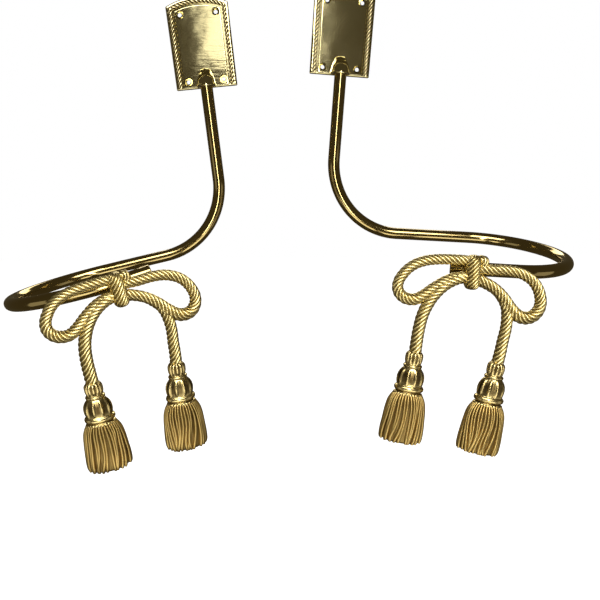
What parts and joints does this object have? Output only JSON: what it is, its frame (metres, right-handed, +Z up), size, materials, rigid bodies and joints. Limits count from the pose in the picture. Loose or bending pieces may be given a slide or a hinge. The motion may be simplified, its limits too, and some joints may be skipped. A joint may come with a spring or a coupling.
{
  "type": "curtain holdback pair",
  "caption": "Polished brass curtain holdbacks: arched wall plate with a rope border, bent rod hook, and a cast rope bow with tassels on the hook's end.",
  "frame": {"origin": "centre of the left plate's back face, halfway up its straight sides", "axes": "+X to the right as seen from the room, +Y into the wall, +Z up"},
  "size_m": [0.42, 0.147, 0.3401],
  "materials": {
    "plate_brass": "polished, with tarnish in the border and fine scratches",
    "rod_brass": "polished round rod",
    "bow_brass": "satin casting, dark in the hollows"
  },
  "bodies": {
    "root": {"plate_left": "plate_brass", "arm_left": "rod_brass", "bow_left": "bow_brass", "plate_right": "plate_brass", "arm_right": "rod_brass", "bow_right": "bow_brass"}
  },
  "joints": []
}
